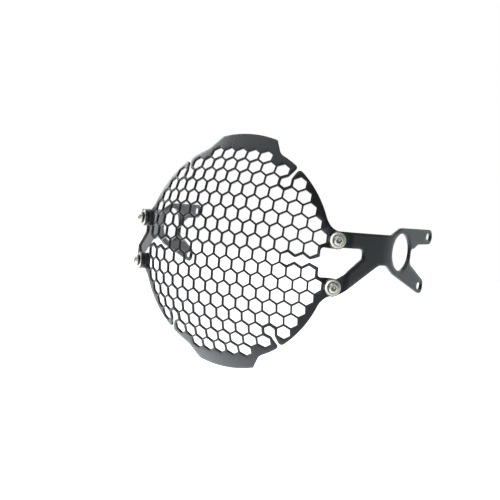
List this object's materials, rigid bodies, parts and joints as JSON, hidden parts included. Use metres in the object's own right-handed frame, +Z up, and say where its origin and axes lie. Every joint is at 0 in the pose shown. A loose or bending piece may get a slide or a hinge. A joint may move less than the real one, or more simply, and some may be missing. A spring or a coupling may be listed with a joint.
{
  "type": "motorcycle headlight guard",
  "caption": "Round domed guard of hexagonal steel mesh for a motorcycle headlamp, with plain peaks, rim slits and folded side brackets bolted on.",
  "frame": {"origin": "the foremost point of the dome, on the axis of the headlamp", "axes": "+X to the right seen from the front, +Y back along the lamp's axis towards the rider, +Z up"},
  "size_m": [0.2584, 0.1585, 0.2064],
  "materials": {
    "panel_coat": "satin black powder coat on steel sheet",
    "bracket_coat": "satin black powder coat on steel plate",
    "stainless": "bare stainless steel, lightly worn",
    "black_steel": "blackened steel",
    "black_rubber": "matte black rubber"
  },
  "bodies": {
    "root": {"guard_panel": "panel_coat", "bracket_right": "bracket_coat", "bracket_left": "bracket_coat", "screw_right_upper": "stainless", "washer_right_upper": "stainless", "lock_washer_right_upper": "black_steel", "spacer_right_upper": "black_rubber", "press_nut_right_upper": "black_steel", "screw_right_lower": "stainless", "washer_right_lower": "stainless", "lock_washer_right_lower": "black_steel", "spacer_right_lower": "black_rubber", "press_nut_right_lower": "black_steel", "screw_left_upper": "stainless", "washer_left_upper": "stainless", "lock_washer_left_upper": "black_steel", "spacer_left_upper": "black_rubber", "press_nut_left_upper": "black_steel", "screw_left_lower": "stainless", "washer_left_lower": "stainless", "lock_washer_left_lower": "black_steel", "spacer_left_lower": "black_rubber", "press_nut_left_lower": "black_steel"}
  },
  "joints": []
}
